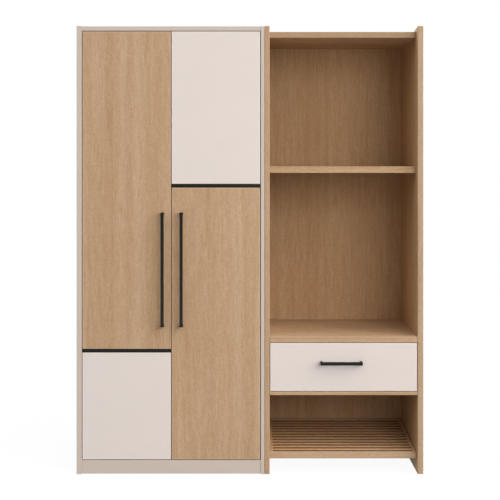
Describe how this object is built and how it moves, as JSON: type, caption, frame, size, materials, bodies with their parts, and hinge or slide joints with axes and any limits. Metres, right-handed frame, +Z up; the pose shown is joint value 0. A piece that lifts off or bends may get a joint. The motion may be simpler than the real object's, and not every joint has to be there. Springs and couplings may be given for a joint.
{
  "type": "two-door wardrobe with open shelf unit",
  "caption": "Wardrobe with inset two-tone doors on concealed hinges, joined to an open shelf unit with a drawer on runners and a sloping slatted shoe rack.",
  "frame": {"origin": "On the floor, under the centre of the bounding box of both units with the handles.", "axes": "+Z is up, the front with doors and drawer faces -Y, and +X runs from the wardrobe to the shelf unit."},
  "size_m": [1.47, 0.532, 1.9],
  "materials": {
    "oak_board": "light oak decor, satin, grain upright on doors and along the shelves",
    "taupe_board": "plain taupe melamine, satin",
    "cream_board": "plain cream melamine, satin",
    "white_board": "white coated board, matt",
    "black_metal": "black brown powder coat, satin",
    "steel": "nickel or zinc plated pressed steel"
  },
  "bodies": {
    "carcass": {"wardrobe_left_side": "taupe_board", "wardrobe_right_side": "taupe_board", "wardrobe_top": "taupe_board", "wardrobe_floor": "taupe_board", "wardrobe_plinth": "taupe_board", "wardrobe_back": "white_board", "hat_shelf": "taupe_board", "hanging_rail": "steel", "rail_socket_left": "steel", "rail_socket_right": "steel", "left_hinge_arm_lower": "steel", "left_hinge_arm_middle": "steel", "left_hinge_arm_upper": "steel", "right_hinge_arm_lower": "steel", "right_hinge_arm_middle": "steel", "right_hinge_arm_upper": "steel", "shelf_unit_left_side": "oak_board", "shelf_unit_right_side": "oak_board", "shelf_unit_top": "oak_board", "upper_shelf": "oak_board", "drawer_cover_board": "oak_board", "drawer_floor_board": "oak_board", "shelf_unit_back": "oak_board", "rack_front_rail": "oak_board", "rack_rear_rail": "oak_board", "rack_slats": "oak_board", "left_runner_cabinet_member": "steel", "right_runner_cabinet_member": "steel"},
    "left_door": {"left_door_lower_panel": "cream_board", "left_door_strip": "black_metal", "left_door_upper_panel": "oak_board", "left_door_handle": "black_metal", "left_hinge_cup_lower": "steel", "left_hinge_cup_middle": "steel", "left_hinge_cup_upper": "steel"},
    "right_door": {"right_door_lower_panel": "oak_board", "right_door_strip": "black_metal", "right_door_upper_panel": "cream_board", "right_door_handle": "black_metal", "right_hinge_cup_lower": "steel", "right_hinge_cup_middle": "steel", "right_hinge_cup_upper": "steel"},
    "left_hinge_links": {"left_hinge_link_lower": "steel", "left_hinge_link_middle": "steel", "left_hinge_link_upper": "steel"},
    "right_hinge_links": {"right_hinge_link_lower": "steel", "right_hinge_link_middle": "steel", "right_hinge_link_upper": "steel"},
    "drawer": {"drawer_front": "cream_board", "drawer_left_wall": "white_board", "drawer_right_wall": "white_board", "drawer_back": "white_board", "drawer_base": "white_board", "drawer_handle": "black_metal", "left_runner_drawer_member": "steel", "right_runner_drawer_member": "steel"},
    "runner_middles": {"left_runner_middle_member": "steel", "right_runner_middle_member": "steel"}
  },
  "joints": [
    {"name": "left_door_hinge", "type": "hinge", "parent": "carcass", "child": "left_door", "pos_m": [-0.705, -0.229, 0.97], "axis": [0, 0, -1], "range_deg": [0, 95]},
    {"name": "right_door_hinge", "type": "hinge", "parent": "carcass", "child": "right_door", "pos_m": [0.038, -0.229, 0.97], "axis": [0, 0, 1], "range_deg": [0, 95]},
    {"name": "left_link_pivot", "type": "hinge", "parent": "carcass", "child": "left_hinge_links", "pos_m": [-0.683, -0.2115, 0.97], "axis": [0, 0, -1], "range_deg": [-38, 0]},
    {"name": "right_link_pivot", "type": "hinge", "parent": "carcass", "child": "right_hinge_links", "pos_m": [0.016, -0.2115, 0.97], "axis": [0, 0, 1], "range_deg": [-38, 0]},
    {"name": "drawer_slide", "type": "slide", "parent": "carcass", "child": "drawer", "axis": [0, -1, 0], "range_m": [0, 0.38]},
    {"name": "runner_slide", "type": "slide", "parent": "carcass", "child": "runner_middles", "axis": [0, -1, 0], "range_m": [0, 0.19]}
  ],
  "couplings": [
    {"joint": "left_link_pivot", "follows": "left_door_hinge", "ratio": -0.4},
    {"joint": "right_link_pivot", "follows": "right_door_hinge", "ratio": -0.4},
    {"joint": "runner_slide", "follows": "drawer_slide", "ratio": 0.5}
  ]
}
